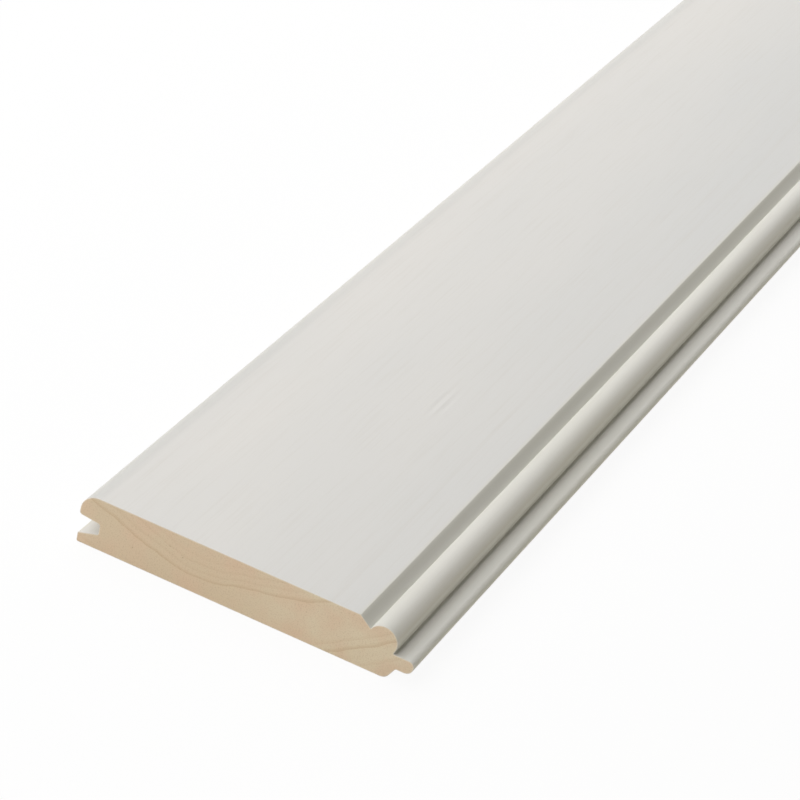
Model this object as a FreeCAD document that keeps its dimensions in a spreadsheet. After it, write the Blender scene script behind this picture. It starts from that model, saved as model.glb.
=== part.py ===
import FreeCAD, Part
import os
import re
import Sketcher

# A beaded tongue and groove board, lying face up on its back.
# X runs across the board from the groove to the tongue, Y along it, and Z up from the back.
# The board is planed to a blank, then each cutter of the moulder takes its shape along the whole length.

# Driving sizes, in millimetres and degrees
SIZES = {
    "board_length": 2400,
    "board_thickness": 18,
    "cover_width": 110,          # what one board covers on the wall, from groove edge to face shoulder
    "tongue_reach": 6.5,         # tongue beyond the face shoulder
    "tongue_thickness": 4.8,
    "tongue_offset": 2,          # middle of the tongue below mid thickness, to leave room for the bead
    "tongue_tip_flat": 0.2,
    "tongue_face_nose": 1.8,     # rounding of the tip on its face side
    "tongue_root_radius": 0.3,
    "groove_tip_clearance": 0.9,  # room beyond the tip of the next board's tongue
    "groove_face_clearance": 0.1,
    "groove_back_clearance": 0.3,
    "groove_face_flare": 7,      # slope of the groove's wall behind the face
    "groove_back_flare": 16.5,   # slope of the groove's wall on the back lip
    "groove_root_radius": 0.8,
    "face_nose_radius": 6,       # rounded long edge of the face above the groove
    "lip_flat": 0.9,             # least flat left on the end of the face lip
    "lip_corner_radius": 1,      # inner corner of the face lip
    "back_lip_setback": 0.35,    # back lip shorter than the face lip, so that the faces close first
    "back_lip_radius": 0.6,
    "back_lip_inner_radius": 0.5,
    "back_shoulder_slope": 30,
    "back_shoulder_gap": 0.1,    # between the back shoulder and the next board's back lip
    "back_shoulder_inner_radius": 0.8,
    "back_corner_radius": 3.2,
    "bead_radius": 5,
    "bead_drop": 0.55,           # crest of the bead below the face
    "bead_return": 30,           # turn of the bead's round below its middle, where it curls back over the tongue
    "quirk_depth": 3.25,
    "quirk_run": 4,              # width of the quirk's sloping wall
    "face_arris_radius": 0.5,
}

# Places on the section, worked out from the sizes
OVERALL_WIDTH = "(cover_width + tongue_reach)"
TONGUE_BACK = "(board_thickness / 2 - tongue_offset - tongue_thickness / 2)"
TONGUE_FACE = "(board_thickness / 2 - tongue_offset + tongue_thickness / 2)"
TONGUE_BACK_NOSE = "(tongue_thickness - tongue_tip_flat - tongue_face_nose)"

# The groove is deeper than the tongue is long.
# Its walls clear the tongue where the tip starts to round, and slope from there.
GROOVE_DEPTH = "(tongue_reach + groove_tip_clearance)"
GROOVE_BACK_TOUCH = f"(tongue_reach - {TONGUE_BACK_NOSE})"
GROOVE_FACE_TOUCH = "(tongue_reach - tongue_face_nose)"


def groove_back_wall(depth):
    """Height of the groove's wall on the back lip, at a depth from the groove edge."""
    rise = f"({depth} - {GROOVE_BACK_TOUCH}) * tan(groove_back_flare)"
    return f"({TONGUE_BACK} - groove_back_clearance + {rise})"


def groove_face_wall(depth):
    """Height of the groove's wall behind the face, at a depth from the groove edge."""
    fall = f"({depth} - {GROOVE_FACE_TOUCH}) * tan(groove_face_flare)"
    return f"({TONGUE_FACE} + groove_face_clearance - {fall})"


MOUTH_BACK = groove_back_wall("0")
MOUTH_FACE = groove_face_wall("0")
ROOT_BACK = groove_back_wall(GROOVE_DEPTH)
ROOT_FACE = groove_face_wall(GROOVE_DEPTH)
BACK_LIP_TOP = groove_back_wall("back_lip_setback")
FACE_LIP = f"(board_thickness - {MOUTH_FACE})"
FACE_NOSE = f"min(face_nose_radius; {FACE_LIP} - lip_corner_radius - lip_flat)"

# The back shoulder slopes clear of the next board's back lip
BACK_SHOULDER = (f"(cover_width + back_lip_setback - back_shoulder_gap"
                 f" - {BACK_LIP_TOP} * tan(back_shoulder_slope))")
BACK_SHOULDER_ROOT = f"({BACK_SHOULDER} + {TONGUE_BACK} * tan(back_shoulder_slope))"

BEAD_CENTRE_X = "(cover_width - bead_radius)"
BEAD_CENTRE_Z = "(board_thickness - bead_drop - bead_radius)"
# The round stops high enough over the tongue to leave room for the rounding of the tongue's root
RETURN_Z = (f"max({TONGUE_FACE} + 1.3 * tongue_root_radius;"
            f" {BEAD_CENTRE_Z} - bead_radius * sin(bead_return))")
RETURN_X = f"({BEAD_CENTRE_X} + sqrt(bead_radius ^ 2 - ({BEAD_CENTRE_Z} - {RETURN_Z}) ^ 2))"
QUIRK_Z = "(board_thickness - quirk_depth)"
QUIRK_X = f"({BEAD_CENTRE_X} - sqrt(bead_radius ^ 2 - ({QUIRK_Z} - {BEAD_CENTRE_Z}) ^ 2))"
FACE_EDGE = f"({QUIRK_X} - quirk_run)"

# A corner lies on an edge when it is this close
ON_EDGE = 1e-6

# Points of a sketch edge, and the sketch's own origin
START, END, CENTRE = 1, 2, 3
ORIGIN = (-1, START)

CUBIC_MM_PER_LITRE = 1e6


doc = FreeCAD.newDocument("TongueAndGrooveBoard")
sheet = doc.addObject("Spreadsheet::Sheet", "Sizes")
for row, (alias, value) in enumerate(SIZES.items(), start=1):
    sheet.set(f"A{row}", alias)
    sheet.set(f"B{row}", str(value))
    sheet.setAlias(f"B{row}", alias)
doc.recompute()


def bound(formula):
    """The formula with each size read from the sheet."""
    return re.sub(r"[a-z_]+", lambda word: f"Sizes.{word[0]}" if word[0] in SIZES else word[0], formula)


def measure(formula):
    """The formula's present value."""
    return float(sheet.evalExpression(bound(formula)))


def bind(sketch, constraint, formula):
    """Add a dimension to the sketch and tie it to the sheet."""
    index = sketch.addConstraint(constraint)
    sketch.setExpression(f"Constraints[{index}]", bound(formula))


def section_sketch(body, name):
    """An empty sketch across the board, at the middle of its length."""
    plane = next(f for f in body.Origin.OriginFeatures if f.Role == "XZ_Plane")
    sketch = body.newObject("Sketcher::SketchObject", name)
    sketch.AttachmentSupport = [(plane, "")]
    sketch.MapMode = "FlatFace"
    return sketch


def fix_point(sketch, edge, end, corner):
    """Place one end of a sketch edge from the groove edge and the back."""
    x, z = corner
    bind(sketch, Sketcher.Constraint("DistanceX", *ORIGIN, edge, end, measure(x)), x)
    bind(sketch, Sketcher.Constraint("DistanceY", *ORIGIN, edge, end, measure(z)), z)


def draw_outline(sketch, corners):
    """Draw a closed outline of straight edges through the corners."""
    points = [FreeCAD.Vector(measure(x), measure(z), 0) for x, z in corners]
    following_points = points[1:] + points[:1]
    edges = [sketch.addGeometry(Part.LineSegment(*ends)) for ends in zip(points, following_points)]
    for edge, following in zip(edges, edges[1:] + edges[:1]):
        sketch.addConstraint(Sketcher.Constraint("Coincident", edge, END, following, START))
    for edge, corner in zip(edges, corners):
        fix_point(sketch, edge, START, corner)


def draw_bead_outline(sketch):
    """Draw the cutter over the bead: quirk wall, round of the bead, face shoulder and face."""
    centre = FreeCAD.Vector(measure(BEAD_CENTRE_X), measure(BEAD_CENTRE_Z), 0)
    face_edge = FreeCAD.Vector(measure(FACE_EDGE), measure("board_thickness"), 0)
    quirk = FreeCAD.Vector(measure(QUIRK_X), measure(QUIRK_Z), 0)
    shoulder = FreeCAD.Vector(measure("cover_width"), centre.y, 0)
    shoulder_top = FreeCAD.Vector(shoulder.x, face_edge.y, 0)
    round_circle = Part.Circle(centre, FreeCAD.Vector(0, 0, 1), measure("bead_radius"))
    wall = sketch.addGeometry(Part.LineSegment(face_edge, quirk))
    bead = sketch.addGeometry(Part.ArcOfCircle(round_circle, 0, round_circle.parameter(quirk)))
    side = sketch.addGeometry(Part.LineSegment(shoulder, shoulder_top))
    face = sketch.addGeometry(Part.LineSegment(shoulder_top, face_edge))
    sketch.addConstraint([
        Sketcher.Constraint("Coincident", wall, END, bead, END),
        Sketcher.Constraint("Coincident", bead, START, side, START),
        Sketcher.Constraint("Coincident", side, END, face, START),
        Sketcher.Constraint("Coincident", face, END, wall, START),
        Sketcher.Constraint("Horizontal", bead, CENTRE, bead, START),
        Sketcher.Constraint("Vertical", side),
        Sketcher.Constraint("Horizontal", face),
    ])
    fix_point(sketch, bead, CENTRE, (BEAD_CENTRE_X, BEAD_CENTRE_Z))
    fix_point(sketch, wall, START, (FACE_EDGE, "board_thickness"))
    bind(sketch, Sketcher.Constraint("Radius", bead, measure("bead_radius")), "bead_radius")
    bind(sketch, Sketcher.Constraint("DistanceY", *ORIGIN, wall, END, measure(QUIRK_Z)), QUIRK_Z)


def draw_return_outline(sketch):
    """Draw the cutter under the bead: its round carried on below the middle, then straight down to the tongue."""
    centre = FreeCAD.Vector(measure(BEAD_CENTRE_X), measure(BEAD_CENTRE_Z), 0)
    middle = FreeCAD.Vector(measure("cover_width"), centre.y, 0)
    turn = FreeCAD.Vector(measure(RETURN_X), measure(RETURN_Z), 0)
    root = FreeCAD.Vector(turn.x, measure(TONGUE_FACE), 0)
    below_middle = FreeCAD.Vector(middle.x, root.y, 0)
    round_circle = Part.Circle(centre, FreeCAD.Vector(0, 0, 1), measure("bead_radius"))
    turn_angle, middle_angle = round_circle.parameter(turn), round_circle.parameter(middle)
    bead = sketch.addGeometry(Part.ArcOfCircle(round_circle, turn_angle, middle_angle))
    side = sketch.addGeometry(Part.LineSegment(middle, below_middle))
    tongue = sketch.addGeometry(Part.LineSegment(below_middle, root))
    drop = sketch.addGeometry(Part.LineSegment(root, turn))
    sketch.addConstraint([
        Sketcher.Constraint("Coincident", bead, END, side, START),
        Sketcher.Constraint("Coincident", side, END, tongue, START),
        Sketcher.Constraint("Coincident", tongue, END, drop, START),
        Sketcher.Constraint("Coincident", drop, END, bead, START),
        Sketcher.Constraint("Horizontal", bead, CENTRE, bead, END),
        Sketcher.Constraint("Vertical", side),
        Sketcher.Constraint("Horizontal", tongue),
        Sketcher.Constraint("Vertical", drop),
    ])
    fix_point(sketch, bead, CENTRE, (BEAD_CENTRE_X, BEAD_CENTRE_Z))
    bind(sketch, Sketcher.Constraint("Radius", bead, measure("bead_radius")), "bead_radius")
    bind(sketch, Sketcher.Constraint("DistanceY", *ORIGIN, bead, START, measure(RETURN_Z)), RETURN_Z)
    bind(sketch, Sketcher.Constraint("DistanceY", *ORIGIN, drop, START, measure(TONGUE_FACE)), TONGUE_FACE)


def cut_along(body, sketch, name):
    """Run a cutter with the sketch's outline along the whole board."""
    before = body.Tip.Shape.Volume
    cut = body.newObject("PartDesign::Pocket", name)
    cut.Profile = sketch
    cut.Type = "ThroughAll"
    cut.SideType = "Symmetric"
    doc.recompute()
    if not cut.Shape.Volume < before:
        raise RuntimeError(f"{name} cuts nothing")


def ease_edges(body, name, corners, radius):
    """Round the long edges that run through these corners of the section."""
    base = body.Tip
    edges = []
    for x, z in corners:
        corner = Part.Vertex(measure(x), 0, measure(z))
        edges += [f"Edge{number}" for number, edge in enumerate(base.Shape.Edges, start=1)
                  if edge.distToShape(corner)[0] < ON_EDGE]
    if len(edges) != len(corners):
        raise RuntimeError(f"{name} finds {len(edges)} edges for {len(corners)} corners")
    rounding = body.newObject("PartDesign::Fillet", name)
    rounding.Base = (base, edges)
    rounding.setExpression("Radius", bound(radius))
    doc.recompute()


body = doc.addObject("PartDesign::Body", "Board")
body.Label = "board"
body.setExpression("Placement.Base.x", bound(f"-{OVERALL_WIDTH} / 2"))

# Planed blank
blank_section = section_sketch(body, "BlankSection")
draw_outline(blank_section, [
    ("0", "0"),
    (OVERALL_WIDTH, "0"),
    (OVERALL_WIDTH, "board_thickness"),
    ("0", "board_thickness"),
])
blank = body.newObject("PartDesign::Pad", "Blank")
blank.Profile = blank_section
blank.SideType = "Symmetric"
blank.setExpression("Length", bound("board_length"))
doc.recompute()

# Tongue, left between an upright face shoulder and a sloping back shoulder
face_rebate = section_sketch(body, "FaceRebateSection")
draw_outline(face_rebate, [
    ("cover_width", TONGUE_FACE),
    (OVERALL_WIDTH, TONGUE_FACE),
    (OVERALL_WIDTH, "board_thickness"),
    ("cover_width", "board_thickness"),
])
cut_along(body, face_rebate, "FaceRebate")

back_rebate = section_sketch(body, "BackRebateSection")
draw_outline(back_rebate, [
    (BACK_SHOULDER, "0"),
    (OVERALL_WIDTH, "0"),
    (OVERALL_WIDTH, TONGUE_BACK),
    (BACK_SHOULDER_ROOT, TONGUE_BACK),
])
cut_along(body, back_rebate, "BackRebate")

# Bead beside the face shoulder, and the sloping quirk that parts it from the face
bead_section = section_sketch(body, "BeadSection")
draw_bead_outline(bead_section)
cut_along(body, bead_section, "BeadAndQuirk")

# The bead curls back under its middle, so that it meets the next board's lip in one line
return_section = section_sketch(body, "BeadReturnSection")
draw_return_outline(return_section)
cut_along(body, return_section, "BeadReturn")

# Groove, wider at its mouth, behind a back lip that stops short of the face lip
groove_section = section_sketch(body, "GrooveSection")
draw_outline(groove_section, [
    ("0", MOUTH_BACK),
    (GROOVE_DEPTH, ROOT_BACK),
    (GROOVE_DEPTH, ROOT_FACE),
    ("0", MOUTH_FACE),
])
cut_along(body, groove_section, "Groove")

back_lip_trim = section_sketch(body, "BackLipTrimSection")
draw_outline(back_lip_trim, [
    ("0", "0"),
    ("back_lip_setback", "0"),
    ("back_lip_setback", TONGUE_BACK),
    ("0", TONGUE_BACK),
])
cut_along(body, back_lip_trim, "BackLipTrim")

# Rounded and eased edges
ease_edges(body, "FaceNose", [("0", "board_thickness")], FACE_NOSE)
ease_edges(body, "FaceArris", [(FACE_EDGE, "board_thickness")], "face_arris_radius")
ease_edges(body, "FaceLipCorner", [("0", MOUTH_FACE)], "lip_corner_radius")
ease_edges(body, "BackLipEdge", [("back_lip_setback", "0")], "back_lip_radius")
ease_edges(body, "BackLipInnerEdge", [("back_lip_setback", BACK_LIP_TOP)], "back_lip_inner_radius")
GROOVE_ROOTS = [(GROOVE_DEPTH, ROOT_BACK), (GROOVE_DEPTH, ROOT_FACE)]
ease_edges(body, "GrooveRoot", GROOVE_ROOTS, "groove_root_radius")
ease_edges(body, "TongueFaceNose", [(OVERALL_WIDTH, TONGUE_FACE)], "tongue_face_nose")
ease_edges(body, "TongueBackNose", [(OVERALL_WIDTH, TONGUE_BACK)], TONGUE_BACK_NOSE)
ease_edges(body, "TongueRoot", [(RETURN_X, TONGUE_FACE)], "tongue_root_radius")
ease_edges(body, "BackCorner", [(BACK_SHOULDER, "0")], "back_corner_radius")
ease_edges(body, "BackShoulderRoot", [(BACK_SHOULDER_ROOT, TONGUE_BACK)], "back_shoulder_inner_radius")

# Checks before anything is written
doc.recompute()
failed = [item.Name for item in doc.Objects if {"Invalid", "Error"} & set(item.State)]
if failed:
    raise RuntimeError(f"failed features: {failed}")
if body.Shape.isNull() or not body.Shape.isValid() or len(body.Shape.Solids) != 1:
    raise RuntimeError("the board isn't one valid solid")

os.makedirs("parts", exist_ok=True)
body.Shape.exportStep(f"parts/{body.Label}.step")
box = body.Shape.BoundBox
print(f"{body.Label}: {box.XLength:.2f} x {box.YLength:.2f} x {box.ZLength:.2f} mm,"
      f" {len(body.Shape.Faces)} faces, {body.Shape.Volume / CUBIC_MM_PER_LITRE:.4f} litres")
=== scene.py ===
# %% [markdown]
# # A primed tongue and groove board
# The board is one long stick of softwood with the same moulded section from end to end: a groove in its
# left edge, and a bead and a tongue at its right. It is sprayed with white primer on every planed face,
# and its two sawn ends are bare wood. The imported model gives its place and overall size, and this
# lesson gives its looks.

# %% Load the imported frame
import math

import bpy
import numpy as np
from mathutils import Matrix, Vector


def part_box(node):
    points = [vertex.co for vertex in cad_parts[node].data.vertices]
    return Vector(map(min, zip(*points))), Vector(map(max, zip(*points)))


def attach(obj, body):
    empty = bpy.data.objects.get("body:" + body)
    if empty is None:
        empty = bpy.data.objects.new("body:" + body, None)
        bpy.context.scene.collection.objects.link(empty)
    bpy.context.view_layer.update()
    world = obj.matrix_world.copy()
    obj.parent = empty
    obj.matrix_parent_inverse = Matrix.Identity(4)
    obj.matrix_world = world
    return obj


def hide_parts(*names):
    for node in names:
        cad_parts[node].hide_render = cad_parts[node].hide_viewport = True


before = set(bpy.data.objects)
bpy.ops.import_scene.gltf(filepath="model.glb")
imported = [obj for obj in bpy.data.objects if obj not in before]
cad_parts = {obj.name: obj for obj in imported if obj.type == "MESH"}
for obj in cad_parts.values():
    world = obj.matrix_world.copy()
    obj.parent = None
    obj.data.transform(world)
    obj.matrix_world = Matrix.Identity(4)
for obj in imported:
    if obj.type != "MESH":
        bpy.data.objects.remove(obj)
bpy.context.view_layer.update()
MM = 0.001
low, high = (np.array(corner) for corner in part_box("board"))
BOARD_WIDTH, BOARD_LENGTH, BOARD_THICKNESS = high - low
print("board in millimetres", np.round((high - low) / MM, 2))

# %% [markdown]
# ## The moulded section
# A moulder's cutters gave the stick its section, so the section is drawn first, as a closed row of
# corners that each have a rounding. It could be cut out of a box with other meshes, but a row of
# corners is how the cutters were drawn, and every size in it can still be read. The section is drawn
# with X from the edge of the groove and Z from the back of the board, in metres.

# %% Sizes of the tongue, groove and bead
TONGUE_REACH = 6.5 * MM           # tongue beyond the bead's side
TONGUE_BACK = 4.6 * MM            # heights of the tongue's two sides over the board's back
TONGUE_FACE = 9.4 * MM
TONGUE_BACK_NOSE = 2.8 * MM       # roundings of the tongue's tip
TONGUE_FACE_NOSE = 1.8 * MM
TONGUE_ROOT = 0.3 * MM            # rounding where the tongue leaves the bead
GROOVE_DEPTH = 7.4 * MM
GROOVE_BACK_FLARE = math.radians(16.5)
GROOVE_FACE_FLARE = math.radians(7)
GROOVE_BACK_GAP = 0.3 * MM        # clearances between the groove's walls and a tongue in it
GROOVE_FACE_GAP = 0.1 * MM
GROOVE_ROOT = 0.8 * MM
FACE_NOSE = 6 * MM                # rounding of the face over the groove
FACE_LIP = 1 * MM                 # roundings of the lips on both sides of the groove's mouth
BACK_LIP = 0.6 * MM
BACK_LIP_INSIDE = 0.5 * MM
BACK_LIP_SETBACK = 0.35 * MM      # the back lip is shorter, so that two faces close first
BACK_SHOULDER_SLOPE = math.radians(30)
BACK_SHOULDER_GAP = 0.1 * MM
BACK_SHOULDER_ROOT = 0.8 * MM
BACK_CORNER = 3.2 * MM
BEAD_RADIUS = 5 * MM
BEAD_DROP = 0.55 * MM             # bead below the face, so that sanding the face spares it
BEAD_RETURN = math.radians(30)    # turn of the bead below its middle, where it curls back over the tongue
QUIRK_DEPTH = 3.25 * MM
QUIRK_RUN = 4 * MM                # width of the sloping wall from the face down to the quirk
FACE_ARRIS = 0.5 * MM
cover = BOARD_WIDTH - TONGUE_REACH
print(f"one board covers {cover / MM:.1f} mm of wall")


# %% Places that follow from those sizes
def groove_back_wall(depth):
    """Height of the groove's back wall: a sloping line, one gap under the tongue where its nose begins."""
    past_nose = depth - (TONGUE_REACH - TONGUE_BACK_NOSE)
    return TONGUE_BACK - GROOVE_BACK_GAP + past_nose * math.tan(GROOVE_BACK_FLARE)


def groove_face_wall(depth):
    """Height of the groove's face wall: a sloping line, one gap over the tongue where its nose begins."""
    past_nose = depth - (TONGUE_REACH - TONGUE_FACE_NOSE)
    return TONGUE_FACE + GROOVE_FACE_GAP - past_nose * math.tan(GROOVE_FACE_FLARE)


back_lip_top = groove_back_wall(BACK_LIP_SETBACK)
shoulder_foot = (cover + BACK_LIP_SETBACK - BACK_SHOULDER_GAP
                 - back_lip_top * math.tan(BACK_SHOULDER_SLOPE))
shoulder_root = shoulder_foot + TONGUE_BACK * math.tan(BACK_SHOULDER_SLOPE)
bead_x = cover - BEAD_RADIUS
bead_z = BOARD_THICKNESS - BEAD_DROP - BEAD_RADIUS
quirk_z = BOARD_THICKNESS - QUIRK_DEPTH
quirk_x = bead_x - math.sqrt(BEAD_RADIUS**2 - (quirk_z - bead_z)**2)
return_x = bead_x + BEAD_RADIUS * math.cos(BEAD_RETURN)
return_z = bead_z - BEAD_RADIUS * math.sin(BEAD_RETURN)
# The bead is the rounding of two corners on the upright that touches its side. A tangent of the bead meets
# that upright at each: the tangent at the quirk high over the board, the one at the return under the bead's
# middle.
bead_top_corner = quirk_z + (cover - quirk_x) * (bead_x - quirk_x) / (quirk_z - bead_z)
bead_low_corner = bead_z - BEAD_RADIUS * math.tan(BEAD_RETURN / 2)
print(f"quirk at {quirk_x / MM:.2f} mm, {QUIRK_DEPTH / MM:.2f} mm under the face")

# %% The corners, anticlockwise from the back edge of the groove
CORNERS = np.array([
    (BACK_LIP_SETBACK, 0, BACK_LIP),
    (shoulder_foot, 0, BACK_CORNER),
    (shoulder_root, TONGUE_BACK, BACK_SHOULDER_ROOT),
    (BOARD_WIDTH, TONGUE_BACK, TONGUE_BACK_NOSE),
    (BOARD_WIDTH, TONGUE_FACE, TONGUE_FACE_NOSE),
    (return_x, TONGUE_FACE, TONGUE_ROOT),
    (return_x, return_z, 0),
    (cover, bead_low_corner, BEAD_RADIUS),
    (cover, bead_top_corner, BEAD_RADIUS),
    (quirk_x, quirk_z, 0),
    (quirk_x - QUIRK_RUN, BOARD_THICKNESS, FACE_ARRIS),
    (0, BOARD_THICKNESS, FACE_NOSE),
    (0, groove_face_wall(0), FACE_LIP),
    (GROOVE_DEPTH, groove_face_wall(GROOVE_DEPTH), GROOVE_ROOT),
    (GROOVE_DEPTH, groove_back_wall(GROOVE_DEPTH), GROOVE_ROOT),
    (BACK_LIP_SETBACK, back_lip_top, BACK_LIP_INSIDE),
])
ARC_STEPS = 25
# Points at these distances from each arc keep the flats shaded flat, and let the finish fade along them
FADES = np.array([0.05, 0.6, 1.2, 2, 3.5]) * MM
SAME_PLACE = 0.0001 * MM          # two points of the outline closer than this are one
SHORTEST = 1e-12                  # stands in for a zero arrow's length, so that nothing divides by zero
print(f"{len(CORNERS)} corners")


# %% Round the corners
def unit(arrows):
    """Arrows divided by their lengths, with a zero arrow left as it is."""
    return arrows / np.maximum(np.linalg.norm(arrows, axis=-1, keepdims=True), SHORTEST)


def rounded_outline(corners):
    """Rounds all corners of a closed outline at once.

    The arc's centre lies radius / sin(half angle) along the line that halves the corner. From it an arrow of
    one radius swings through 180 degrees less the corner's angle. Each straight between two arcs gets points
    at set distances from both its ends, or at thirds of it where it is short.
    """
    place, radius = corners[:, None, :2], corners[:, None, 2:]
    to_last = unit(np.roll(place, 1, axis=0) - place)
    to_next = unit(np.roll(place, -1, axis=0) - place)
    middle, side = unit(to_last + to_next), unit(to_next - to_last)
    half = np.arccos((to_next * middle).sum(-1, keepdims=True))
    swing = (math.pi / 2 - half) * np.linspace(-1, 1, ARC_STEPS)[None, :, None]
    centre = place + middle * radius / np.sin(half)
    arc = centre - radius * (np.cos(swing) * middle - np.sin(swing) * side)
    leaving = arc[:, -1:]
    straight = np.roll(arc[:, :1], -1, axis=0) - leaving
    fade = np.minimum(FADES, np.linalg.norm(straight, axis=-1) / 3)[..., None] * unit(straight)
    runs = [arc, leaving + fade, leaving + straight - fade[:, ::-1]]
    points = np.concatenate(runs, axis=1).reshape(-1, 2)
    step = np.linalg.norm(points - np.roll(points, 1, axis=0), axis=1)
    return points[step > SAME_PLACE]


outline = rounded_outline(CORNERS)
outline_x, outline_z = outline.T
print(f"outline of {len(outline)} points, {np.ptp(outline_x) / MM:.2f} by {np.ptp(outline_z) / MM:.2f} mm")

# %% [markdown]
# ## The board
# The section is carried along a straight path, as the stick went through the moulder. Each end is
# closed by three bands: a tiny worn arris, a narrow rim that caught some primer, and the flat sawn
# face. A Bevel modifier could round the ends, but it would also find the moulded edges, so the bands
# are worked out here.

# %% Carry the section along the board
END_ARRIS = 0.12 * MM             # wear of the sawn edge
END_RIM = 0.25 * MM               # primer that reached round the edge
STATION_PITCH = 60 * MM


def inset(loop, distance):
    """Moves each point of a closed anticlockwise loop inwards, square to the chord of its neighbours."""
    chord = unit(np.roll(loop, -1, axis=0) - np.roll(loop, 1, axis=0))
    return loop + distance * np.stack([-chord[:, 1], chord[:, 0]], axis=1)


def ring(loop, y):
    """A loop of the section at a distance along the board, in the frame's own coordinates."""
    return np.stack([low[0] + loop[:, 0], np.full(len(loop), low[1] + y), low[2] + loop[:, 1]], axis=1)


worn, rimmed = inset(outline, END_ARRIS), inset(outline, END_ARRIS + END_RIM)
body = np.linspace(END_ARRIS, BOARD_LENGTH - END_ARRIS, round(BOARD_LENGTH / STATION_PITCH) + 1)
rings = np.stack(
    [ring(rimmed, 0), ring(worn, 0)]
    + [ring(outline, y) for y in body]
    + [ring(worn, BOARD_LENGTH), ring(rimmed, BOARD_LENGTH)]
)
ring_count, point_count = rings.shape[:2]
print(f"{ring_count} rings of {point_count} points")

# %% Faces between the rings
FOLD = math.radians(40)           # faces that meet at more than this angle keep a sharp edge
here = np.arange(ring_count - 1)[:, None] * point_count
turn = np.arange(point_count)[None, :]
after = (turn + 1) % point_count
beyond = here + point_count
quads = np.stack([beyond + turn, beyond + after, here + after, here + turn], axis=-1)
near_end = np.arange(point_count)
far_end = near_end[::-1] + (ring_count - 1) * point_count
faces = quads.reshape(-1, 4).tolist() + [near_end.tolist(), far_end.tolist()]
board_mesh = bpy.data.meshes.new("primed_board")
board_mesh.from_pydata(rings.reshape(-1, 3), [], faces)
board_mesh.shade_smooth()
board_mesh.set_sharp_from_angle(angle=FOLD)
primed_board = bpy.data.objects.new("primed_board", board_mesh)
bpy.context.scene.collection.objects.link(primed_board)
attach(primed_board, "root")
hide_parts("board")
print(f"{len(board_mesh.vertices)} vertices, {len(board_mesh.polygons)} faces")

# %% [markdown]
# ## Where the finish changes
# Five things follow the shape, so they are stored on the mesh. The bands at each end are bare wood. A little
# primer reached round the sawn edge. The primer is thin on the sharpest edges, along the moulded edge and on
# the back. Painted shade darkens the sloping wall of the quirk and the curl under the bead, and painted
# shade greys the groove edge and the rounded nose over it. They could be painted by hand as vertex colours,
# but each is a plain function of the section, so numpy works them out.

# %% Bare wood at the ends, and primer that reached round the edge
END_GAPS = 2                      # arris and rim, between the rings of each end
ARRIS_RINGS = [1, 2, -3, -2]      # the rings on both sides of each worn arris


def store(name, values):
    """Stores one number for each point of the mesh, under a name that a material can read."""
    stored = board_mesh.attributes.new(name, "FLOAT", "POINT")
    stored.data.foreach_set("value", values.astype(np.float32))


gap = np.repeat(np.arange(ring_count - 1), point_count)
bare = (gap < END_GAPS) | (gap >= ring_count - 1 - END_GAPS)
bare = np.append(bare, [True, True])
board_mesh.polygons.foreach_set("material_index", bare.astype(np.int32))
reached = np.zeros(ring_count)
reached[ARRIS_RINGS] = 1
store("overspray", np.repeat(reached, point_count))
print(f"{bare.sum()} faces of bare wood")

# %% Thin primer on the sharpest edges, down the moulded edge and on the back
THIN_REACH = 0.8 * MM
MOULDED_THINNESS = 0.9            # the gun passes the bead and the tongue at a slant
BACK_THINNESS = 0.8               # the back gets one quick coat, since it faces the wall
SHARP_CORNERS = [0, 10, 12, 15]   # edges of the back lip, the face beside the quirk, and the face lip
distance = np.linalg.norm(outline[:, None] - CORNERS[None, SHARP_CORNERS, :2], axis=-1).min(axis=1)
thinness = np.exp(-(distance / THIN_REACH) ** 2)
on_moulding = (outline_x > quirk_x - QUIRK_RUN) & (outline_z > TONGUE_BACK)
on_back = outline_z < BACK_LIP
thinness = np.maximum.reduce([thinness, MOULDED_THINNESS * on_moulding, BACK_THINNESS * on_back])
store("thin_primer", np.tile(thinness, ring_count))
print(f"thinness up to {thinness.max():.2f}, {thinness.mean():.2f} on average")

# %% Painted shade in the quirk and under the bead
SHADE_EDGE = 0.9 * MM              # width over which the painted shade fades in, below the face and round the bead's middle
SHADE_LEFT_LOW = 0.3               # share of the painted shade that is left at the bottom of the quirk
BEAD_SHADE_REACH = 0.8 * MM
# Painted shade: darker down the quirk's sloping wall and under the curl of the bead, where shade falls
down_wall = (outline_x - quirk_x + QUIRK_RUN).clip(0, QUIRK_RUN)
wall_shade = (down_wall / SHADE_EDGE).clip(0, 1) * (1 - (1 - SHADE_LEFT_LOW) * (down_wall / QUIRK_RUN) ** 2)
from_quirk = np.linalg.norm(outline - (quirk_x, quirk_z), axis=-1)
bead_shade = SHADE_LEFT_LOW * np.exp(-(from_quirk / BEAD_SHADE_REACH) ** 2)
on_wall = (outline_x <= quirk_x) & (outline_z > quirk_z - SAME_PLACE)
under_bead = (outline_x > return_x) & (outline_z > return_z)
curl_shade = under_bead * ((bead_z + SHADE_EDGE / 2 - outline_z) / SHADE_EDGE).clip(0, 1)
painted_shade = np.where(on_wall, wall_shade, np.maximum(bead_shade, curl_shade))
store("painted_shade_in_quirk", np.tile(painted_shade, ring_count))
print(f"dust up to {painted_shade.max():.2f}, {painted_shade.mean():.2f} on average")

# %% Painted shade along the groove edge
NOSE_SHADE_START, NOSE_SHADE_FULL = 8 * MM, 3.5 * MM         # distances from the edge where the painted shade begins and is whole
# Painted shade: greys the face's rounded nose over the groove, so that it reads no brighter than the face
over_lip = outline_z > groove_face_wall(0) + FACE_LIP
into_nose_shade = ((NOSE_SHADE_START - outline_x) / (NOSE_SHADE_START - NOSE_SHADE_FULL)).clip(0, 1)
nose_shade_share = over_lip * into_nose_shade ** 2 * (3 - 2 * into_nose_shade)     # an S-curve from 0 to 1
store("painted_shade_on_nose", np.tile(nose_shade_share, ring_count))
print(f"rub up to {nose_shade_share.max():.2f}, {nose_shade_share.mean():.2f} on average")
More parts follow.
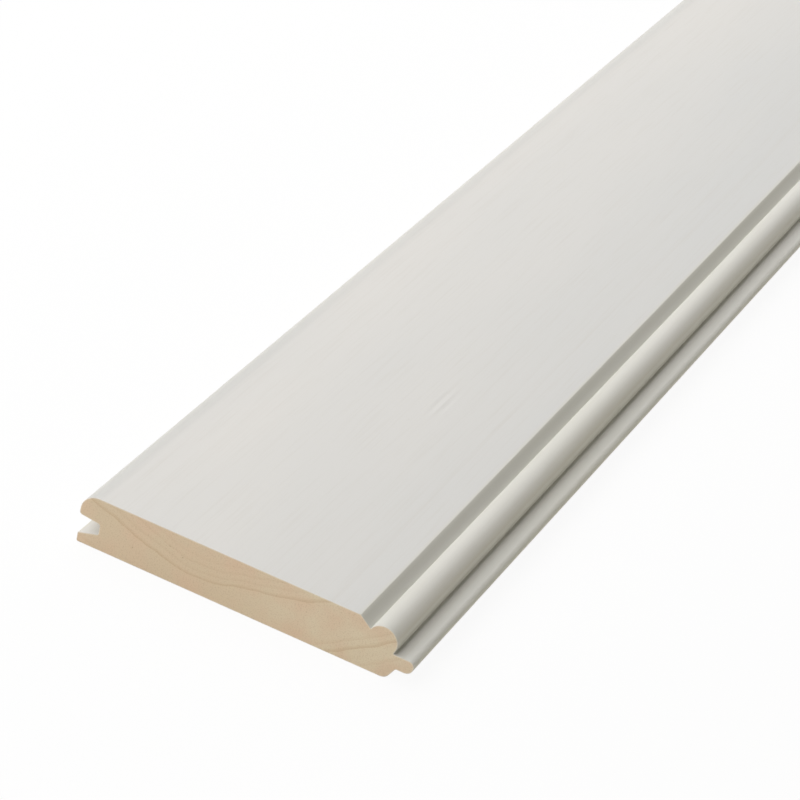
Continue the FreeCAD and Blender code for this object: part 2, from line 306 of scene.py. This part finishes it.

# %% [markdown]
# ## A flat map of the surface
# A finish baked into a picture needs a flat map. Laid out by itself, a long thin board would leave its ends
# only a few pixels, so the map is made here: the long surface is unrolled into a wide strip, and each
# end gets a strip of its own at a larger scale.

# %% Unroll the board and lay out its ends
MAP_PIXELS = 1024
MARGIN = 0.006                    # share of the map left empty inside the edge of each strip
END_STRIP = 0.15                  # share of the map's height for each end


def in_strip(across, up, bottom, top):
    """Places on the map: shares across and up a strip that lies between two heights, a margin inside it."""
    map_x = MARGIN + (1 - 2 * MARGIN) * across
    map_y = bottom + MARGIN + (top - bottom - 2 * MARGIN) * up
    return np.stack([map_x, map_y], axis=-1)


shares = (rings - low) / (high - low)
girth = np.append(0, np.cumsum(np.linalg.norm(np.roll(outline, -1, axis=0) - outline, axis=1)))
girth /= girth[-1]
corner_shares = shares.reshape(-1, 3)[quads]
corner_girth = np.stack([girth[:-1], girth[1:], girth[1:], girth[:-1]], axis=-1)
corner_girth = np.broadcast_to(corner_girth, quads.shape)
on_map = in_strip(corner_shares[..., 1], corner_girth, 2 * END_STRIP, 1)
near, far = corner_shares[:END_GAPS], corner_shares[-END_GAPS:]
on_map[:END_GAPS] = in_strip(near[..., 0], near[..., 2], 0, END_STRIP)
on_map[-END_GAPS:] = in_strip(far[..., 0], far[..., 2], END_STRIP, 2 * END_STRIP)
near_face = in_strip(shares[0, :, 0], shares[0, :, 2], 0, END_STRIP)
far_face = in_strip(shares[-1, ::-1, 0], shares[-1, ::-1, 2], END_STRIP, 2 * END_STRIP)
flat_map = board_mesh.uv_layers.new(name="OFBake")
flat_map.uv.foreach_set("vector", np.concatenate([on_map.ravel(), near_face.ravel(), far_face.ravel()]))
print(f"end drawn at {MAP_PIXELS * (1 - 2 * MARGIN) / (BOARD_WIDTH / MM):.1f} pixels for each millimetre")

# %% [markdown]
# ## Tools for the finishes
# A finish is a small net of nodes that starts at a place on the board and ends at the shader. Three
# helpers keep the nets short: one turns the hex colour that a designer writes into the linear light
# that Blender adds up, one adds a node with its settings and links, and one starts a new material.

# %% Colours and nodes
# A Mix node holds sockets for numbers, arrows and colours in one row, so those for colours go by number
SHARE, FROM, TO, MIXED = 0, 6, 7, 2


def linear(hex_colour):
    """Linear RGBA of an sRGB hex colour.

    A channel over 0.04 is (channel + 0.055) / 1.055 to the power 2.4, and a darker one is channel / 12.92.
    """
    channels = np.array([int(hex_colour[i:i + 2], 16) for i in (1, 3, 5)]) / 255
    bright = ((channels + 0.055) / 1.055) ** 2.4
    return (*np.where(channels <= 0.04045, channels / 12.92, bright).tolist(), 1)


def add_node(tree, kind, inputs=None, **settings):
    """Adds a shader node. Settings are its own properties; inputs gives sockets a value or an output."""
    made = tree.nodes.new("ShaderNode" + kind)
    for name, value in settings.items():
        setattr(made, name, value)
    for socket, value in (inputs or {}).items():
        if isinstance(value, bpy.types.NodeSocket):
            tree.links.new(value, made.inputs[socket])
        else:
            made.inputs[socket].default_value = value
    return made


def new_finish(name):
    """An empty node material, added to the board, and its node tree."""
    material = bpy.data.materials.new(name)
    material.use_nodes = True
    material.node_tree.nodes.clear()
    board_mesh.materials.append(material)
    return material.node_tree


print("white is", linear("#FFFFFF"))

# %% [markdown]
# ## Growth rings
# The stick was sawn from a tree, and the rings that curve across its ends run along its faces as grain.
# One field gives both: the distance from the tree's heart, which lay above the face, counted in rings.
# Blender's Wave texture has rings too, but with this field each ring gets a soft inner side, a hard
# outer side and a strength of its own.

# %% Latewood at a place
HEART = Vector((low[0] + 44 * MM, 0, low[2] + 101 * MM))
ACROSS = (1, 0, 1)                # keeps an arrow's way across the board and drops its way along it
RING_PITCH = 2.6 * MM
RING_WAVER = 5 * MM               # how far a ring wanders from a true circle
WAVER_SIZE = Vector((30, 700, 30)) * MM
RING_DARKENS, RING_DARKEST = 0.45, 0.97        # shares of a ring's width
YEAR_CONTRAST = 2                 # power that leaves most years faint and a few strong


def latewood(tree, place):
    """Dark latewood, 0 to 1: it rises over each ring's outer half and drops where the next ring starts."""
    arrow = add_node(tree, "VectorMath", {0: place, 1: HEART}, operation="SUBTRACT")
    flat = add_node(tree, "VectorMath", {0: arrow.outputs[0], 1: ACROSS}, operation="MULTIPLY")
    radius = add_node(tree, "VectorMath", {0: flat.outputs[0]}, operation="LENGTH")
    stretched = add_node(tree, "VectorMath", {0: place, 1: WAVER_SIZE}, operation="DIVIDE")
    waver = add_node(tree, "TexNoise", {"Vector": stretched.outputs[0], "Scale": 1, "Detail": 3})
    wavy = add_node(tree, "Math", {0: waver.outputs[0], 1: 2 * RING_WAVER, 2: radius.outputs["Value"]},
                    operation="MULTIPLY_ADD")
    count = add_node(tree, "Math", {0: wavy.outputs[0], 1: RING_PITCH}, operation="DIVIDE")
    within = add_node(tree, "Math", {0: count.outputs[0]}, operation="FRACT")
    number = add_node(tree, "Math", {0: count.outputs[0]}, operation="FLOOR")
    year = add_node(tree, "TexWhiteNoise", {"W": number.outputs[0]}, noise_dimensions="1D")
    strength = add_node(tree, "Math", {0: year.outputs["Value"], 1: YEAR_CONTRAST}, operation="POWER")
    rise = add_node(tree, "MapRange", {
        "Value": within.outputs[0], "From Min": RING_DARKENS, "From Max": RING_DARKEST},
        interpolation_type="SMOOTHSTEP")
    dark = add_node(tree, "Math", {0: rise.outputs[0], 1: strength.outputs[0]}, operation="MULTIPLY")
    return dark.outputs[0]


print(f"{BOARD_THICKNESS / RING_PITCH:.0f} rings through the board")

# %% [markdown]
# ## White primer, sprayed on planed softwood
# Primer is a thin matt coat that the next painter sands. It is warm white, with painted light on it:
# brighter and warmer on the groove side, which faces the panel, and cooler towards the tongue. It is a
# little uneven where the passes lapped, and the grain under it still shows: latewood swells less than the
# wood beside it, so it lies a hair lower and shades faintly. Fine fibres stand up in the wet coat, and the
# spray leaves a soft pebble. At one place the planer tore the grain, and a few splinters show as streaks.
# A flat white would look like plastic, so the colour, roughness and bump all come from those causes.

# %% The primer's patterns
LAP_SIZE = Vector((50, 220, 50)) * MM          # patches where the passes of the gun lap
FIBRE_SIZE = Vector((0.9, 35, 0.9)) * MM       # really thinner than a hair; drawn wider to show
PEBBLE_SIZE = 1.4 * MM                         # really under half a millimetre; drawn larger to show
GRIT_SPACING = 38 * MM
primer = new_finish("white_primer_sprayed_on_planed_softwood")
place = add_node(primer, "TexCoord").outputs["Object"]
lap = add_node(primer, "VectorMath", {0: place, 1: LAP_SIZE}, operation="DIVIDE")
lap = add_node(primer, "TexNoise", {"Vector": lap.outputs[0], "Scale": 1, "Detail": 2})
fibre = add_node(primer, "VectorMath", {0: place, 1: FIBRE_SIZE}, operation="DIVIDE")
fibre = add_node(primer, "TexNoise", {
    "Vector": fibre.outputs[0], "Scale": 1, "Detail": 3, "Roughness": 0.6})
pebble = add_node(primer, "TexNoise", {"Vector": place, "Scale": 1 / PEBBLE_SIZE, "Detail": 2})
grit = add_node(primer, "TexVoronoi", {"Vector": place, "Scale": 1 / GRIT_SPACING})
rings_below = latewood(primer, place)
print(len(primer.nodes), "nodes of pattern")

# %% Torn grain under the primer
TORN_SPOT = Vector((low[0] + 64 * MM, low[1] + 128 * MM, high[2]))
TORN_REACH = Vector((5, 16, 5)) * MM
TORN_WHOLE = 0.3                  # share of that reach where the streaks keep their full height
SPLINTER_PITCH = 3.2 * MM
SPLINTER_WANDER = 1.5             # radians by which the fibres move the wave of the streaks
from_tear = add_node(primer, "VectorMath", {0: place, 1: TORN_SPOT}, operation="SUBTRACT")
sideways = add_node(primer, "SeparateXYZ", {0: from_tear.outputs[0]})
wander = add_node(primer, "Math", {0: fibre.outputs[0], 1: SPLINTER_WANDER}, operation="MULTIPLY")
turn_per_metre = 2 * math.pi / SPLINTER_PITCH
phase = add_node(primer, "Math", {0: sideways.outputs["X"], 1: turn_per_metre, 2: wander.outputs[0]},
                 operation="MULTIPLY_ADD")
streaks = add_node(primer, "Math", {0: phase.outputs[0]}, operation="SINE")
inside = add_node(primer, "VectorMath", {0: from_tear.outputs[0], 1: TORN_REACH}, operation="DIVIDE")
inside = add_node(primer, "VectorMath", {0: inside.outputs[0]}, operation="LENGTH")
torn = add_node(primer, "MapRange", {
    "Value": inside.outputs["Value"], "From Min": TORN_WHOLE, "From Max": 1, "To Min": 1, "To Max": 0},
    interpolation_type="SMOOTHSTEP")
splintered = add_node(primer, "Math", {0: streaks.outputs[0], 1: torn.outputs[0]}, operation="MULTIPLY")
print(f"torn grain over {2 * TORN_REACH.y / MM:.0f} mm")

# %% The coat, from warm to cool across the board
PRIMER_WARM, PRIMER_COOL = linear("#E4E2DE"), linear("#DDDDDB")
LAP_LOW, LAP_HIGH = 0.3, 0.7      # the noise of the laps lies mostly between these
LAP_SHIFT = 0.35                  # how far a lap moves the change of colour, as a share of the width
lapped = add_node(primer, "MapRange", {
    "Value": lap.outputs[0], "From Min": LAP_LOW, "From Max": LAP_HIGH,
    "To Min": -LAP_SHIFT, "To Max": LAP_SHIFT})
across = add_node(primer, "SeparateXYZ", {0: place})
toward_tongue = add_node(primer, "MapRange", {
    "Value": across.outputs["X"], "From Min": low[0], "From Max": high[0]})
# Painted light: the coat is brighter and warmer on the groove side, which faces the panel, and darker and
# cooler towards the tongue; the laps move where it changes
painted_light_fade = add_node(primer, "Math", {0: toward_tongue.outputs[0], 1: lapped.outputs[0]},
                    operation="ADD", use_clamp=True)
coat = add_node(primer, "Mix", {SHARE: painted_light_fade.outputs[0], FROM: PRIMER_WARM, TO: PRIMER_COOL},
                data_type="RGBA")
print("primer from", PRIMER_WARM[:3], "to", PRIMER_COOL[:3])

# %% Rings, fibres and wood that show through the coat
RINGS_UNDER_COAT, RINGS_UNDER_THIN = 0.15, 0.4     # how much the rings shade a whole coat and a thin one
FIBRE_LOW, FIBRE_HIGH, FIBRE_SHADE = 0.5, 0.8, 0.25
WOOD_LEAST, WOOD_MOST = 0.08, 0.2                  # share of wood that shows where the primer is thinnest
thin = add_node(primer, "Attribute", attribute_name="thin_primer")
ring_shade = add_node(primer, "MapRange", {
    "Value": thin.outputs["Fac"], "To Min": RINGS_UNDER_COAT, "To Max": RINGS_UNDER_THIN})
ringed = add_node(primer, "Math", {0: rings_below, 1: ring_shade.outputs[0]}, operation="MULTIPLY")
fibrous = add_node(primer, "MapRange", {
    "Value": fibre.outputs[0], "From Min": FIBRE_LOW, "From Max": FIBRE_HIGH, "To Max": FIBRE_SHADE})
patchy = add_node(primer, "MapRange", {
    "Value": lap.outputs[0], "From Min": LAP_LOW, "From Max": LAP_HIGH,
    "To Min": WOOD_LEAST, "To Max": WOOD_MOST})
worn_through = add_node(primer, "Math", {0: thin.outputs["Fac"], 1: patchy.outputs[0]},
                        operation="MULTIPLY")
print(f"up to {WOOD_MOST:.0%} of the wood shows through")

# %% Specks, and painted shade in the quirk, under the bead and on the groove edge
GRIT_CORE, GRIT_EDGE = 0.304 * MM, 0.456 * MM      # radius of a speck's dark middle, and of the whole speck
# The first darkens the specks of grit, the second is how far the painted shade in the quirk and under the
# bead darkens the coat
GRIT_SHADE, PAINTED_SHADE_SHARE = 0.6, 0.34
NOSE_SHADE_LEAST, NOSE_SHADE_MOST = 0.22, 0.34
speck = add_node(primer, "MapRange", {
    "Value": grit.outputs["Distance"], "From Min": GRIT_CORE / GRIT_SPACING,
    "From Max": GRIT_EDGE / GRIT_SPACING, "To Min": GRIT_SHADE, "To Max": 0})
# Painted shade in the quirk and under the curl of the bead, added to the grit's dark specks
quirk_shade = add_node(primer, "Attribute", attribute_name="painted_shade_in_quirk")
grit_and_quirk_shade = add_node(primer, "Math", {0: quirk_shade.outputs["Fac"], 1: PAINTED_SHADE_SHARE, 2: speck.outputs[0]},
                 operation="MULTIPLY_ADD", use_clamp=True)
# Painted shade on the groove edge, a little uneven along the board
nose_shade = add_node(primer, "Attribute", attribute_name="painted_shade_on_nose")
nose_shade_varies = add_node(primer, "MapRange", {
    "Value": lap.outputs[0], "From Min": LAP_LOW, "From Max": LAP_HIGH,
    "To Min": NOSE_SHADE_LEAST, "To Max": NOSE_SHADE_MOST})
nose_shaded = add_node(primer, "Math", {0: nose_shade.outputs["Fac"], 1: nose_shade_varies.outputs[0]}, operation="MULTIPLY")
print(f"specks {2 * GRIT_EDGE / MM:.1f} mm across")

# %% Lay those over the coat, one after the other
PRIMER_OVER_LATEWOOD, WOOD_THROUGH_PRIMER = linear("#D3CFC7"), linear("#D9D2A4")
# Grey for the specks of grit and for the painted shade in the quirk and under the bead, and grey for the
# painted shade on the groove edge
GRIT_AND_SHADE_GREY, NOSE_SHADE_GREY = linear("#A2A092"), linear("#A3A7A5")
for mark, colour in (
    (ringed, PRIMER_OVER_LATEWOOD),
    (fibrous, PRIMER_OVER_LATEWOOD),
    (worn_through, WOOD_THROUGH_PRIMER),
    (grit_and_quirk_shade, GRIT_AND_SHADE_GREY),
    (nose_shaded, NOSE_SHADE_GREY),
):
    coat = add_node(primer, "Mix", {SHARE: mark.outputs[0], FROM: coat.outputs[MIXED], TO: colour},
                    data_type="RGBA")
print(len(primer.nodes), "nodes of pattern and colour")

# %% The primer's surface
PEBBLE_HEIGHT, FIBRE_HEIGHT, RING_HEIGHT, SPLINTER_HEIGHT = 0.018, 0.018, -0.024, 0.06    # millimetres
PRIMER_SMOOTHEST, PRIMER_ROUGHEST = 0.6, 0.78
height = add_node(primer, "Math", {0: pebble.outputs[0], 1: PEBBLE_HEIGHT}, operation="MULTIPLY")
for pattern, tall in (
    (fibre.outputs[0], FIBRE_HEIGHT),
    (rings_below, RING_HEIGHT),
    (splintered.outputs[0], SPLINTER_HEIGHT),
):
    height = add_node(primer, "Math", {0: pattern, 1: tall, 2: height.outputs[0]}, operation="MULTIPLY_ADD")
relief = add_node(primer, "Bump", {"Height": height.outputs[0], "Distance": MM})
matt = add_node(primer, "MapRange", {
    "Value": pebble.outputs[0], "To Min": PRIMER_SMOOTHEST, "To Max": PRIMER_ROUGHEST})
coat_shader = add_node(primer, "BsdfPrincipled", {
    "Base Color": coat.outputs[MIXED], "Roughness": matt.outputs[0], "IOR": 1.5, "Specular IOR Level": 0.3,
    "Normal": relief.outputs[0]})
add_node(primer, "OutputMaterial", {"Surface": coat_shader.outputs[0]})
print(len(primer.nodes), "nodes in the primer")

# %% [markdown]
# ## Bare softwood, sawn across the grain
# The ends show the wood itself, cut by a crosscut saw: pale tan, paler towards the tongue, partly as
# sapwood and partly as painted light where the panel's light on the end is weaker, with rings that curve up
# towards both edges, fine rays that run out from the heart, open cells too small to see one by one, and the
# saw's faint lines. The cut ends drink light, so they are rough.
# The same rings as under the primer tie the ends to the faces. A Wood texture would give even stripes,
# so each of these causes has its own pattern.

# %% The sawn wood's patterns
BLOTCH_SIZE = 11 * MM
CELL_SIZE = 0.5 * MM              # really a thirtieth of a millimetre; drawn larger to show
CANAL_SPACING = 6 * MM            # from one resin canal to the next
SAW_LINE_SIZE = Vector((0.9, 1, 30)) * MM
SAW_ANGLE = math.radians(24)
sawn = new_finish("bare_softwood_sawn_across_the_grain")
place = add_node(sawn, "TexCoord").outputs["Object"]
rings_here = latewood(sawn, place)
blotch = add_node(sawn, "TexNoise", {"Vector": place, "Scale": 1 / BLOTCH_SIZE, "Detail": 3})
cells = add_node(sawn, "TexNoise", {"Vector": place, "Scale": 1 / CELL_SIZE, "Detail": 2, "Roughness": 0.7})
canal = add_node(sawn, "TexVoronoi", {"Vector": place, "Scale": 1 / CANAL_SPACING})
saw_line = add_node(sawn, "Mapping", {
    "Vector": place, "Rotation": (0, SAW_ANGLE, 0), "Scale": SAW_LINE_SIZE}, vector_type="TEXTURE")
saw_line = add_node(sawn, "TexNoise", {"Vector": saw_line.outputs[0], "Scale": 1, "Detail": 2})
print(len(sawn.nodes), "nodes of pattern")

# %% Rays from the heart
RAY_WIDTH = 0.6 * MM              # really thinner than a hair; drawn wider to show
RAY_LENGTH = 9 * MM
HEART_DISTANCE = 88 * MM          # from the heart to the board, where a ray has that width
arrow = add_node(sawn, "VectorMath", {0: place, 1: HEART}, operation="SUBTRACT")
parts = add_node(sawn, "SeparateXYZ", {0: arrow.outputs[0]})
angle = add_node(sawn, "Math", {0: parts.outputs["X"], 1: parts.outputs["Z"]}, operation="ARCTAN2")
flat = add_node(sawn, "VectorMath", {0: arrow.outputs[0], 1: ACROSS}, operation="MULTIPLY")
reach = add_node(sawn, "VectorMath", {0: flat.outputs[0]}, operation="LENGTH")
ray_place = add_node(sawn, "CombineXYZ", {"X": angle.outputs[0], "Y": reach.outputs["Value"]})
ray_scale = add_node(sawn, "VectorMath", {
    0: ray_place.outputs[0], 1: (HEART_DISTANCE / RAY_WIDTH, 1 / RAY_LENGTH, 0)}, operation="MULTIPLY")
ray = add_node(sawn, "TexNoise", {"Vector": ray_scale.outputs[0], "Scale": 1, "Detail": 1})
print(f"rays {RAY_WIDTH / MM:.1f} mm wide")

# %% The sawn wood's colour
EARLYWOOD, SAPWOOD_AND_PAINTED_LIGHT, PINKISH = linear("#D7C6AE"), linear("#DDD0B9"), linear("#DBC3AC")
LATEWOOD, CELL = linear("#BEA17C"), linear("#AA9070")
# Paler towards the tongue: partly sapwood, partly painted light where the panel's light on the end is weaker
SAP_AND_LIGHT_START, SAP_AND_LIGHT_WHOLE = low[0] + 45 * MM, low[0] + 85 * MM
CANAL_CORE, CANAL_EDGE = 0.18 * MM, 0.36 * MM      # radius of a canal's dark middle, and of the whole canal
across = add_node(sawn, "SeparateXYZ", {0: place})
sap_and_light_share = add_node(sawn, "MapRange", {
    "Value": across.outputs["X"], "From Min": SAP_AND_LIGHT_START, "From Max": SAP_AND_LIGHT_WHOLE},
    interpolation_type="SMOOTHSTEP")
wood = add_node(sawn, "Mix", {SHARE: sap_and_light_share.outputs[0], FROM: EARLYWOOD, TO: SAPWOOD_AND_PAINTED_LIGHT}, data_type="RGBA")
overspray = add_node(sawn, "Attribute", attribute_name="overspray")
# Each row: a pattern, its value where it starts to show and where it shows most, how much, and its colour
for pattern, starts, whole, most, colour in (
    (blotch.outputs[0], 0.4, 0.66, 0.8, PINKISH),
    (rings_here, 0, 1, 0.5, LATEWOOD),
    (cells.outputs[0], 0.5, 0.8, 0.5, CELL),
    (ray.outputs[0], 0.55, 0.75, 0.35, EARLYWOOD),
    (canal.outputs["Distance"], CANAL_EDGE / CANAL_SPACING, CANAL_CORE / CANAL_SPACING, 0.5, CELL),
    (overspray.outputs["Fac"], 0, 1, 0.55, PRIMER_WARM),
):
    mark = add_node(sawn, "MapRange", {
        "Value": pattern, "From Min": starts, "From Max": whole, "To Max": most})
    wood = add_node(sawn, "Mix", {SHARE: mark.outputs[0], FROM: wood.outputs[MIXED], TO: colour},
                    data_type="RGBA")
print("sapwood from", round((SAP_AND_LIGHT_START - low[0]) / MM), "to", round((SAP_AND_LIGHT_WHOLE - low[0]) / MM), "mm")

# %% The sawn wood's surface
SAW_HEIGHT, CELL_HEIGHT = 0.03, -0.03              # millimetres
WOOD_SMOOTHEST, WOOD_ROUGHEST = 0.75, 0.95
height = add_node(sawn, "Math", {0: saw_line.outputs[0], 1: SAW_HEIGHT}, operation="MULTIPLY")
height = add_node(sawn, "Math", {0: cells.outputs[0], 1: CELL_HEIGHT, 2: height.outputs[0]},
                  operation="MULTIPLY_ADD")
relief = add_node(sawn, "Bump", {"Height": height.outputs[0], "Distance": MM})
matt = add_node(sawn, "MapRange", {
    "Value": cells.outputs[0], "To Min": WOOD_SMOOTHEST, "To Max": WOOD_ROUGHEST})
wood_shader = add_node(sawn, "BsdfPrincipled", {
    "Base Color": wood.outputs[MIXED], "Roughness": matt.outputs[0], "IOR": 1.45, "Specular IOR Level": 0.3,
    "Normal": relief.outputs[0]})
add_node(sawn, "OutputMaterial", {"Surface": wood_shader.outputs[0]})
print(len(sawn.nodes), "nodes in the sawn wood")

# %% [markdown]
# ## A white studio
# The board lies on a plain floor. One long soft panel leans over it from the groove side, from straight
# above the bead to a third of the way up from the floor, and the sky beyond the tongue is nearly dark.
# The bead, the quirk and the tongue read by that one-sided light: what faces up or left is bright, and
# what faces right is grey. The panel is near, so the face dims a little towards the tongue. A weak
# light stands on the viewer's side for the sawn end, and pale walls just over the floor keep the lowest
# sides from going black. To the camera the floor and the sky are white, but they light the board at a
# plain level. One even sky would be simpler, but it would hide the moulding.

# %% Soft lights
PANEL_BRIGHTNESS = 1.42           # a white card under a whole sky of brightness 1 would show white
PANEL_COLOUR = (0.97, 0.975, 1.0)
PANEL_TOP, PANEL_FOOT = Vector((0.05, 0, 0.70)), Vector((-0.62, 0, 0.40))
PANEL_PAST_ENDS = 1.0             # metres of panel beyond each end of the board
FRONT_LIGHT_LEVEL = 0.115
FRONT_LIGHT_WAY = Vector((0, -0.9, 0.4))
FRONT_LIGHT_SPREAD = math.radians(60)


def hang(lamp, place, way):
    """Hangs a lamp at a place. The way is an arrow towards the lamp, and the lamp shines against it."""
    hung = bpy.data.objects.new(lamp.name, lamp)
    hung.matrix_world = Matrix.Translation(place) @ way.to_track_quat("Z", "Y").to_matrix().to_4x4()
    hung.visible_camera = False
    bpy.context.scene.collection.objects.link(hung)


panel_slope = PANEL_TOP - PANEL_FOOT
panel = bpy.data.lights.new("long_soft_panel", "AREA")
panel.shape = "RECTANGLE"
panel.size = BOARD_LENGTH + 2 * PANEL_PAST_ENDS
panel.size_y = panel_slope.length
panel.color = PANEL_COLOUR
panel.energy = PANEL_BRIGHTNESS * math.pi * panel.size * panel.size_y
hang(panel, (PANEL_TOP + PANEL_FOOT) / 2, Vector((-panel_slope.z, 0, panel_slope.x)))
front_light = bpy.data.lights.new("weak_front_light", "SUN")
front_light.energy = FRONT_LIGHT_LEVEL * math.pi
front_light.angle = FRONT_LIGHT_SPREAD
hang(front_light, FRONT_LIGHT_WAY, FRONT_LIGHT_WAY)
print(f"panel {panel.size_y:.2f} m wide, {panel.energy:.0f} W")

# %% Floor and sky
FLOOR_SIDE = 60.0                 # metres, so that it fills the picture from 15 degrees up
FLOOR_DROP = 0.2 * MM
square = np.array([(-1, -1, 0), (1, -1, 0), (1, 1, 0), (-1, 1, 0)])
floor_mesh = bpy.data.meshes.new("studio_floor")
floor_mesh.from_pydata(FLOOR_SIDE / 2 * square + (0, 0, low[2] - FLOOR_DROP), [], [(0, 1, 2, 3)])
studio_floor = bpy.data.objects.new("studio_floor", floor_mesh)
bpy.context.scene.collection.objects.link(studio_floor)
floor_paint = bpy.data.materials.new("matt_paint_of_the_studio_floor")
floor_paint.use_nodes = True
floor_mesh.materials.append(floor_paint)
sky = bpy.data.worlds.new("one_sided_sky")
sky.use_nodes = True
bpy.context.scene.world = sky
print(f"floor {FLOOR_SIDE:.0f} m wide")

# %% What the camera sees, also in gloss and through glass
seen = {}
for tree in (floor_paint.node_tree, sky.node_tree):
    tree.nodes.clear()
    path = add_node(tree, "LightPath")
    either = add_node(tree, "Math", {0: path.outputs["Is Camera Ray"], 1: path.outputs["Is Glossy Ray"]},
                      operation="MAXIMUM")
    seen[tree] = add_node(tree, "Math", {0: either.outputs[0], 1: path.outputs["Is Transmission Ray"]},
                          operation="MAXIMUM").outputs[0]
print(len(seen), "surfaces that look white and light the board plainly")

# %% The floor, white to the camera
FLOOR_GREY, WHITE = linear("#F8F4E8"), linear("#FFFFFF")
FLOOR_GLOW = 0.93                 # share of the floor's white that the board's shadow doesn't darken
tree = floor_paint.node_tree
shade = add_node(tree, "Mix", {SHARE: seen[tree], FROM: FLOOR_GREY, TO: WHITE}, data_type="RGBA")
lit = add_node(tree, "BsdfDiffuse", {"Color": shade.outputs[MIXED]})
glow = add_node(tree, "Emission", {"Color": WHITE, "Strength": 1})
glowing = add_node(tree, "Math", {0: seen[tree], 1: FLOOR_GLOW}, operation="MULTIPLY")
mixed = add_node(tree, "MixShader", {0: glowing.outputs[0], 1: lit.outputs[0], 2: glow.outputs[0]})
add_node(tree, "OutputMaterial", {"Surface": mixed.outputs[0]})
print(f"{1 - FLOOR_GLOW:.0%} of the floor's white takes shadow")

# %% The sky, white to the camera and one-sided to the board
SKY_LEFT, SKY_RIGHT = 0.36, 0.04               # strength of the sky on either side of the board
WALL_LEFT, WALL_RIGHT = 0.15, 0.9              # more light from pale walls, just over the floor
SIDE_BLEND = 0.3                               # X of a direction, both ways, where one side has given way
WALL_FADES, WALL_ENDS = 0.1, 0.35              # Z of a direction where the walls fade and where they end
SKY_TINT = linear("#FFF9EA")
tree = sky.node_tree
way = add_node(tree, "SeparateXYZ", {0: add_node(tree, "TexCoord").outputs["Generated"]})
sky_level, wall_level = (
    add_node(tree, "MapRange", {
        "Value": way.outputs["X"], "From Min": -SIDE_BLEND, "From Max": SIDE_BLEND,
        "To Min": left, "To Max": right}, interpolation_type="SMOOTHSTEP")
    for left, right in ((SKY_LEFT, SKY_RIGHT), (WALL_LEFT, WALL_RIGHT))
)
near_floor = add_node(tree, "MapRange", {
    "Value": way.outputs["Z"], "From Min": WALL_FADES, "From Max": WALL_ENDS, "To Min": 1, "To Max": 0},
    interpolation_type="SMOOTHSTEP")
level = add_node(tree, "Math", {
    0: wall_level.outputs[0], 1: near_floor.outputs[0], 2: sky_level.outputs[0]}, operation="MULTIPLY_ADD")
lighting = add_node(tree, "Background", {"Color": SKY_TINT, "Strength": level.outputs[0]})
backdrop = add_node(tree, "Background", {"Color": WHITE, "Strength": 1})
mixed = add_node(tree, "MixShader", {0: seen[tree], 1: lighting.outputs[0], 2: backdrop.outputs[0]})
add_node(tree, "OutputWorld", {"Surface": mixed.outputs[0]})
print("sky from", SKY_LEFT, "to", SKY_RIGHT)

# %% [markdown]
# ## The camera
# The picture was taken with a long lens from above the near end, to the right of the board, and is
# tilted. The board's own edges give the camera: its long edges meet at one point of the picture and its
# cross edges at another, and the 18 mm of its thickness gives the distance.

# %% Camera at the picture's angle
PICTURE_SIDE = 800                # pixels
FOCAL_PIXELS = 3271
SENSOR_WIDTH = 36                 # millimetres
FARTHEST_SEEN = 50                # metres
VIEW_AZIMUTH, VIEW_ELEVATION, VIEW_TILT = (math.radians(turned) for turned in (19.292, 30.663, 12.604))
EYE = low + (0.3601, -0.7607, 0.5708)          # metres from the near left corner of the board's back
lens = bpy.data.cameras.new("long_lens")
lens.sensor_width = SENSOR_WIDTH
lens.lens = FOCAL_PIXELS / PICTURE_SIDE * SENSOR_WIDTH
lens.clip_end = FARTHEST_SEEN
camera = bpy.data.objects.new("camera", lens)
turn_round = Matrix.Rotation(VIEW_AZIMUTH, 4, "Z")
lift = Matrix.Rotation(math.pi / 2 - VIEW_ELEVATION, 4, "X")
tilt = Matrix.Rotation(VIEW_TILT, 4, "Z")
camera.matrix_world = Matrix.Translation(EYE) @ turn_round @ lift @ tilt
bpy.context.scene.collection.objects.link(camera)
bpy.context.scene.camera = camera
bpy.context.scene.view_settings.view_transform = "Standard"
print(f"lens {lens.lens:.1f} mm at", np.round(EYE, 3))
